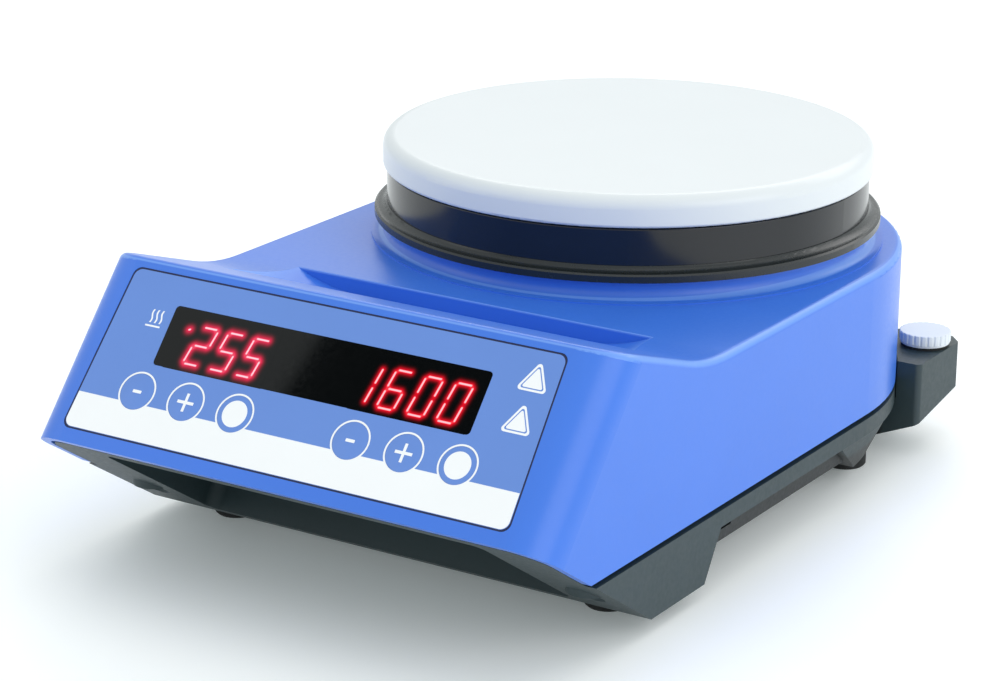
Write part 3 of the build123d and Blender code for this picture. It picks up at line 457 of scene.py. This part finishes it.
foil_corners = [
    (FOIL_HEAD, FOIL_HALF_H),
    (-FOIL_HEAD, FOIL_HALF_H),
    (-FOIL_FOOT, -FOIL_HALF_H),
    (FOIL_FOOT, -FOIL_HALF_H),
]
foil_outline = softened(foil_corners, [FOIL_R] * 4)
window_outline = rounded(
    WINDOW_X - WINDOW_W / 2,
    WINDOW_Y - WINDOW_H / 2,
    WINDOW_X + WINDOW_W / 2,
    WINDOW_Y + WINDOW_H / 2,
    WINDOW_R,
)
key_holes = [circle(x, KEY_Y, CAP_R + KEY_GAP) for x in KEY_X.values()]
foil = flat_piece(
    "foil_sheet",
    [foil_outline, window_outline, *key_holes],
    -FOIL_T,
    0,
    paint["foil_blue"],
    bevel=FOIL_BEVEL,
)
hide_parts("front_foil")


# painted shade: a dark sheet round the foil, a little below its face, stands in for the shadow in
# the gap
EDGE_W = 0.42
EDGE_R = FOIL_R + 0.3
EDGE_LOW = -FOIL_T + 0.02
EDGE_HIGH = -0.08
edge_corners = [
    (math.copysign(abs(x) + EDGE_W, x), math.copysign(abs(y) + EDGE_W, y))
    for x, y in foil_corners
]
foil_gap_shade = flat_piece(
    "foil_gap_shade",
    [softened(edge_corners, [EDGE_R] * 4), foil_outline],
    EDGE_LOW,
    EDGE_HIGH,
    surface("navy_gap_shade", tone(10, 22, 70), 0.5, grain=0.1),
)


BAND_INSET = 0.1
RING_OVERLAP = 0.2
ARC_STEPS = 24


def band_outline():
    """White strip along the foil's foot, its upper edge broken by the lower arcs of the keys."""
    foot = -FOIL_HALF_H + BAND_INSET
    top_half = foil_half(BAND_TOP) - BAND_INSET
    foot_half = foil_half(foot) - BAND_INSET
    reach = RING_R - RING_OVERLAP
    half = math.acos((BAND_TOP - KEY_Y) / -reach)
    # the upper edge is walked from right to left, and dips round each key on the way
    walk = [(top_half, BAND_TOP)]
    for x in sorted(KEY_X.values(), reverse=True):
        for i in range(ARC_STEPS + 1):
            angle = -math.pi / 2 + half - 2 * half * i / ARC_STEPS
            walk.append((x + reach * math.cos(angle), KEY_Y + reach * math.sin(angle)))
    ends = [(-top_half, BAND_TOP), (-foot_half, foot), (foot_half, foot)]
    radii = [0, FOIL_R - BAND_INSET, 0]
    left_foot = softened(ends, radii)[1:-1]
    right_foot = softened([ends[1], ends[2], walk[0]], radii)[1:-1]
    return walk + [ends[0]] + left_foot + right_foot


band = flat_piece("foil_band", [band_outline()], 0.0, PRINT_T, print_white)


BAR_ROUNDING = 0.2


def bar(x, y, w, h):
    """Short printed stroke with slightly rounded corners."""
    radius = min(w, h) * BAR_ROUNDING
    return rounded(x - w / 2, y - h / 2, x + w / 2, y + h / 2, radius, 3)


def plus_outline(reach, width):
    """Cross with square arms, one outline: the same three points for each quarter turn."""
    a, b = width / 2, reach / 2
    quarter = [(b, -a), (b, a), (a, a)]
    points = []
    for _ in range(4):
        points += quarter
        quarter = [(-y, x) for x, y in quarter]
    return points


def wave_outline(x, low, high, swing, width, count=24):
    """Rising warm-air line: a wavy stroke."""
    right_side, left_side = [], []
    for i in range(count + 1):
        y = low + (high - low) * i / count
        shift = x + swing * math.sin(2 * math.pi * i / count)
        right_side.append((shift + width / 2, y))
        left_side.append((shift - width / 2, y))
    return right_side + left_side[::-1]


def triangle(x, foot, width, height, inset, radius):
    """Upright triangle with round corners, drawn in by an inset."""
    slope = math.hypot(width / 2, height) / (width / 2)
    side = inset * (math.hypot(width / 2, height) + width / 2) / height
    top = foot + height - inset * slope
    return softened(
        [(x, top), (x - width / 2 + side, foot + inset), (x + width / 2 - side, foot + inset)],
        [radius] * 3,
        6,
    )


def printed(name, outlines, low=0.0, body=BODY, place=panel):
    """White print a hair above the foil or a key."""
    piece = flat_piece(name, outlines, low, low + PRINT_T, print_white, body, place=place)


# heating sign: three waves over a bar
HEAT_X = -47.9
HEAT_FOOT = 7.3
HEAT_W = 4.2
HEAT_STROKE = 0.42
WAVES_X = HEAT_X + 0.2
WAVE_PITCH = 1.35
WAVE_LOW = HEAT_FOOT + 0.8
WAVE_HIGH = HEAT_FOOT + 4.1
WAVE_SWING = 0.22
heat_waves = [
    wave_outline(WAVES_X + WAVE_PITCH * k, WAVE_LOW, WAVE_HIGH, WAVE_SWING, HEAT_STROKE)
    for k in (-1, 0, 1)
]
printed("heat_sign", [bar(HEAT_X, HEAT_FOOT, HEAT_W, HEAT_STROKE), *heat_waves])

# plain triangles: a thin outer line and a filled middle, each outline with its inset and corner
TRIANGLE_X = 53.3
TRIANGLE_FEET = {"upper": 10.9, "lower": 0.9}
TRIANGLE_W = 8.0
TRIANGLE_H = 7.4
TRIANGLE_LINES = ((0.0, 0.75), (0.5, 0.45), (0.78, 0.35))
for level, foot in TRIANGLE_FEET.items():
    lines = [
        triangle(TRIANGLE_X, foot, TRIANGLE_W, TRIANGLE_H, inset, radius)
        for inset, radius in TRIANGLE_LINES
    ]
    printed(f"{level}_triangle_sign", lines)

# the keys' signs, about the middle of a key
MINUS = bar(0, 0, 2.4, 0.75)
PLUS = plus_outline(4.5, 0.72)
DISC = circle(0, 0, 3.25)
SIGNS = {
    "cooler": MINUS,
    "hotter": PLUS,
    "heater": DISC,
    "slower": MINUS,
    "faster": PLUS,
    "stirrer": DISC,
}


def lathe(name, profile, material, body, place, count=96):
    """Turned piece: (radius, height) points in millimetres about local Z, from pole to pole."""
    mesh = bpy.data.meshes.new(name)
    bm = bmesh.new()
    rings = []
    for r, z in profile:
        ring = circle(0, 0, r, count) if r > 0 else [(0, 0)]
        rings.append([bm.verts.new((x * MM, y * MM, z * MM)) for x, y in ring])
    for a, b in zip(rings, rings[1:]):
        for i in range(count):
            j = (i + 1) % count
            if len(a) == 1:
                bm.faces.new((a[0], b[j], b[i]))
            elif len(b) == 1:
                bm.faces.new((a[i], a[j], b[0]))
            else:
                bm.faces.new((a[i], a[j], b[j], b[i]))
    bmesh.ops.recalc_face_normals(bm, faces=bm.faces)
    bm.to_mesh(mesh)
    bm.free()
    mesh.materials.append(material)
    piece = bpy.data.objects.new(name, mesh)
    scene.collection.objects.link(piece)
    piece.matrix_world = place
    smooth(piece)
    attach(piece, body)
    return piece


def smooth(piece, angle=35.0):
    """Soft shading across gentle bends, crisp at edges."""
    for face in piece.data.polygons:
        face.use_smooth = True
    edges = bmesh.new()
    edges.from_mesh(piece.data)
    limit = math.radians(angle)
    for edge in edges.edges:
        edge.smooth = not (len(edge.link_faces) == 2 and edge.calc_face_angle(0.0) > limit)
    edges.to_mesh(piece.data)
    edges.free()


# a key's height above the foil, its rounded edge, its underside, and the stem down to its switch
CAP_TOP = 0.06
CAP_EDGE = 0.1
CAP_EDGE_MIDDLE = 0.03
CAP_LOW = -0.8
STEM_R = 2.2
STEM_LOW = -5.6
RING_GAP = 0.03
RING_LOW = 0.01
CAP_PROFILE = [
    (0, STEM_LOW),
    (STEM_R, STEM_LOW),
    (STEM_R, CAP_LOW),
    (CAP_R, CAP_LOW),
    (CAP_R, CAP_TOP - CAP_EDGE),
    (CAP_R - CAP_EDGE_MIDDLE, CAP_TOP - CAP_EDGE_MIDDLE),
    (CAP_R - CAP_EDGE, CAP_TOP),
    (0, CAP_TOP),
]
ring_outlines = [circle(0, 0, RING_R), circle(0, 0, CAP_R + RING_GAP)]
for name, x in KEY_X.items():
    spot = panel @ Matrix.Translation((x * MM, KEY_Y * MM, 0))
    cap = lathe(f"{name}_cap", CAP_PROFILE, paint["key_print"], f"{name}_button", spot)
    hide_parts(f"{name}_key")
    printed(f"{name}_ring", ring_outlines, RING_LOW, place=spot)
    printed(f"{name}_sign", [SIGNS[name]], CAP_TOP, f"{name}_button", spot)


# ---------------------------------------------------------------- lit digits

# ends of each segment, in widths across and half heights up from the digit's foot
SEGMENTS = {
    "top": ((0, 2), (1, 2)),
    "upper_right": ((1, 2), (1, 1)),
    "lower_right": ((1, 1), (1, 0)),
    "foot": ((0, 0), (1, 0)),
    "lower_left": ((0, 1), (0, 0)),
    "upper_left": ((0, 2), (0, 1)),
    "bar": ((0, 1), (1, 1)),
}
DIGITS = {
    "2": ["top", "upper_right", "bar", "lower_left", "foot"],
    "5": ["top", "upper_left", "bar", "lower_right", "foot"],
    "1": ["upper_right", "lower_right"],
    "6": ["top", "upper_left", "bar", "lower_left", "lower_right", "foot"],
    "0": ["top", "upper_left", "upper_right", "lower_left", "lower_right", "foot"],
}
# a digit's size between the middles of its strokes, its slant, and the gap at each stroke's end
DIGIT_W = 4.45
DIGIT_H = 9.4
SLANT = math.tan(math.radians(9.2))
GAP = 0.72
# a dot is a short stroke; the sheet's grid, and its height above the foil
DOT_STROKE = Vector((0.3, 0.1))
SHEET_STEP = 0.14
GLOW_Z = 0.012
# share of a stroke's half width over which its bright heart fades
HEART_BLEND = 0.25


def stroke_ends(x, y, segment):
    """End points of one segment of a digit whose foot's left corner is at (x, y)."""
    ends = []
    for u, v in SEGMENTS[segment]:
        py = y + v * DIGIT_H / 2
        ends.append(Vector((x + u * DIGIT_W + (py - y) * SLANT, py)))
    a, b = ends
    along = (b - a).normalized()
    return a + along * GAP, b - along * GAP


def brightness(here, strokes, core, spread, level):
    """Nearness to the lit strokes: 1 in the heart of one, falling off through its halo."""
    near = 1e9
    haze = 0.0
    for a, b in strokes:
        line = b - a
        along = max(0.0, min(1.0, (here - a).dot(line) / max(line.length_squared, 1e-9)))
        gap = (here - a - line * along).length
        near = min(near, gap)
        haze += math.exp(-((gap / spread) ** 2))
    heart = 1.0 / (1.0 + math.exp((near - core) / (core * HEART_BLEND)))
    return min(1.0, max(heart, level * min(1.0, haze)))


def read_out(name, text, first_x, pitch, foot_y, bounds, material, core, spread, level, dots=()):
    """Lit figures, a fine sheet just above the pane that stores how bright each point is."""
    strokes = [(Vector(dot), Vector(dot) + DOT_STROKE) for dot in dots]
    for i, digit in enumerate(text):
        for segment in DIGITS[digit]:
            strokes.append(stroke_ends(first_x + i * pitch, foot_y, segment))
    x0, y0, x1, y1 = bounds
    columns = round((x1 - x0) / SHEET_STEP)
    rows = round((y1 - y0) / SHEET_STEP)
    points = [
        Vector((x0 + (x1 - x0) * i / columns, y0 + (y1 - y0) * j / rows))
        for j in range(rows + 1)
        for i in range(columns + 1)
    ]
    width = columns + 1
    faces = [
        (k, k + 1, k + width + 1, k + width)
        for j in range(rows)
        for k in range(j * width, j * width + columns)
    ]
    mesh = bpy.data.meshes.new(name)
    mesh.from_pydata([(x * MM, y * MM, 0) for x, y in points], [], faces)
    lit = mesh.attributes.new("lit", "FLOAT", "POINT")
    for index, here in enumerate(points):
        lit.data[index].value = brightness(here, strokes, core, spread, level)
    mesh.materials.append(material)
    for face in mesh.polygons:
        face.use_smooth = True
    piece = bpy.data.objects.new(name, mesh)
    scene.collection.objects.link(piece)
    piece.matrix_world = panel @ Matrix.Translation((0, 0, GLOW_Z * MM))
    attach(piece, BODY)


GLOW_POWER = 1.15
read_out(
    "temperature_digits",
    "255",
    first_x=-35.7,
    pitch=7.35,
    foot_y=0.2,
    bounds=(-40.5, -1.8, -12.8, 11.8),
    material=glowing("crimson_glow", tone(222, 20, 70), GLOW_POWER, tone(255, 214, 228)),
    core=0.3,
    spread=0.95,
    level=0.62,
    dots=[(-37.7, 8.3)],
)
read_out(
    "speed_digits",
    "1600",
    first_x=10.05,
    pitch=7.85,
    foot_y=0.0,
    bounds=(11.0, -1.8, 41.8, 11.4),
    material=glowing("scarlet_glow", tone(236, 12, 38), GLOW_POWER, tone(255, 206, 216)),
    core=0.31,
    spread=0.72,
    level=0.62,
)


# ---------------------------------------------------------------- camera, lights, floor

camera = bpy.data.objects.new("camera", bpy.data.cameras.new("camera"))
scene.collection.objects.link(camera)
scene.camera = camera
SENSOR = 36.0
LENS = 113.02
NEAREST = 0.05
camera.data.sensor_width = SENSOR
camera.data.lens = LENS
camera.data.clip_start = NEAREST
AZIMUTH = math.radians(32.32)
PITCH = math.radians(18.07)
ROLL = math.radians(0.485)
CAMERA_AT = Vector((0.38803, -0.63268, 0.28075))
heading = Vector((-math.sin(AZIMUTH), math.cos(AZIMUTH), 0))
ahead = heading * math.cos(PITCH) - Vector((0, 0, math.sin(PITCH)))
right = Vector((math.cos(AZIMUTH), math.sin(AZIMUTH), 0))
up = right.cross(ahead)
side = right * math.cos(ROLL) + up * math.sin(ROLL)
over = up * math.cos(ROLL) - right * math.sin(ROLL)
camera.matrix_world = Matrix(
    (
        (side.x, over.x, -ahead.x, CAMERA_AT.x),
        (side.y, over.y, -ahead.y, CAMERA_AT.y),
        (side.z, over.z, -ahead.z, CAMERA_AT.z),
        (0, 0, 0, 1),
    )
)


WARM = (1.0, 0.975, 0.97)


def softbox(name, place, target, width, height, power):
    """Rectangular lamp, in metres and watts, aimed at a point."""
    light = bpy.data.lights.new(name, "AREA")
    light.shape = "RECTANGLE"
    light.size = width
    light.size_y = height
    light.energy = power
    light.color = WARM
    lamp = bpy.data.objects.new(name, light)
    scene.collection.objects.link(lamp)
    lamp.location = place
    lamp.rotation_euler = (Vector(target) - Vector(place)).to_track_quat("-Z", "Y").to_euler()


AIM = (0, 0, 0.05)
HIGH_AIM = (0, 0, 0.06)
softbox("sky_box", (0.15, 0.35, 1.5), AIM, width=1.6, height=1.6, power=3.0)
softbox("back_box", (-0.1, 1.5, 1.1), HIGH_AIM, width=2.4, height=0.7, power=9.0)
softbox("right_box", (1.4, -0.2, 0.7), AIM, width=1.2, height=1.0, power=6.0)
softbox("left_box", (-1.1, -0.9, 0.6), AIM, width=0.9, height=0.9, power=1.5)

world = bpy.data.worlds.new("studio")
scene.world = world
world.use_nodes = True
SKY_TINT = (0.95, 1.0, 1.0, 1.0)
SKY_POWER = 0.84
background = world.node_tree.nodes["Background"]
background.inputs["Color"].default_value = SKY_TINT
background.inputs["Strength"].default_value = SKY_POWER

pale_floor = surface("pale_floor", tone(250, 251, 252), 0.5, drift=0.0)
floor_shader = pale_floor.node_tree.nodes["Principled BSDF"]
# a little light of its own softens the shadow
FLOOR_TINT = (0.88, 1.0, 1.0, 1.0)
FLOOR_GLOW = 0.13
floor_shader.inputs["Emission Color"].default_value = FLOOR_TINT
floor_shader.inputs["Emission Strength"].default_value = FLOOR_GLOW
floor_mesh = bpy.data.meshes.new("floor")
FLOOR = 40.0
floor_corners = [(-FLOOR, -FLOOR, 0), (FLOOR, -FLOOR, 0), (FLOOR, FLOOR, 0), (-FLOOR, FLOOR, 0)]
floor_mesh.from_pydata(floor_corners, [], [(0, 1, 2, 3)])
floor_mesh.materials.append(pale_floor)
floor = bpy.data.objects.new("floor", floor_mesh)
scene.collection.objects.link(floor)

# a dark flag that only reflections see: the right part of the pane mirrors it
FLAG_AWAY = 0.5
# the part of the panel that mirrors it, in the panel's own millimetres, its left side leaning
FLAG_FOOT = -14
FLAG_HEAD = 24
FLAG_RIGHT = 60
FLAG_LEFT_FOOT = -9.5
FLAG_LEFT_HEAD = -0.7


def mirrored(x, y):
    """Point that the camera sees reflected at a spot of the panel."""
    spot = panel @ Vector((x * MM, y * MM, 0))
    look = (spot - CAMERA_AT).normalized()
    return spot + (look - 2 * look.dot(panel_normal) * panel_normal) * FLAG_AWAY


flag_mesh = bpy.data.meshes.new("flag")
flag_corners = [
    mirrored(FLAG_LEFT_FOOT, FLAG_FOOT),
    mirrored(FLAG_RIGHT, FLAG_FOOT),
    mirrored(FLAG_RIGHT, FLAG_HEAD),
    mirrored(FLAG_LEFT_HEAD, FLAG_HEAD),
]
flag_mesh.from_pydata([tuple(point) for point in flag_corners], [], [(0, 1, 2, 3)])
flag_mesh.materials.append(surface("flag_cloth", tone(6, 6, 7), 1.0, grain=0.3))
flag = bpy.data.objects.new("flag", flag_mesh)
scene.collection.objects.link(flag)
flag.visible_camera = False
flag.visible_diffuse = False
flag.visible_shadow = False

scene.view_settings.view_transform = "Standard"
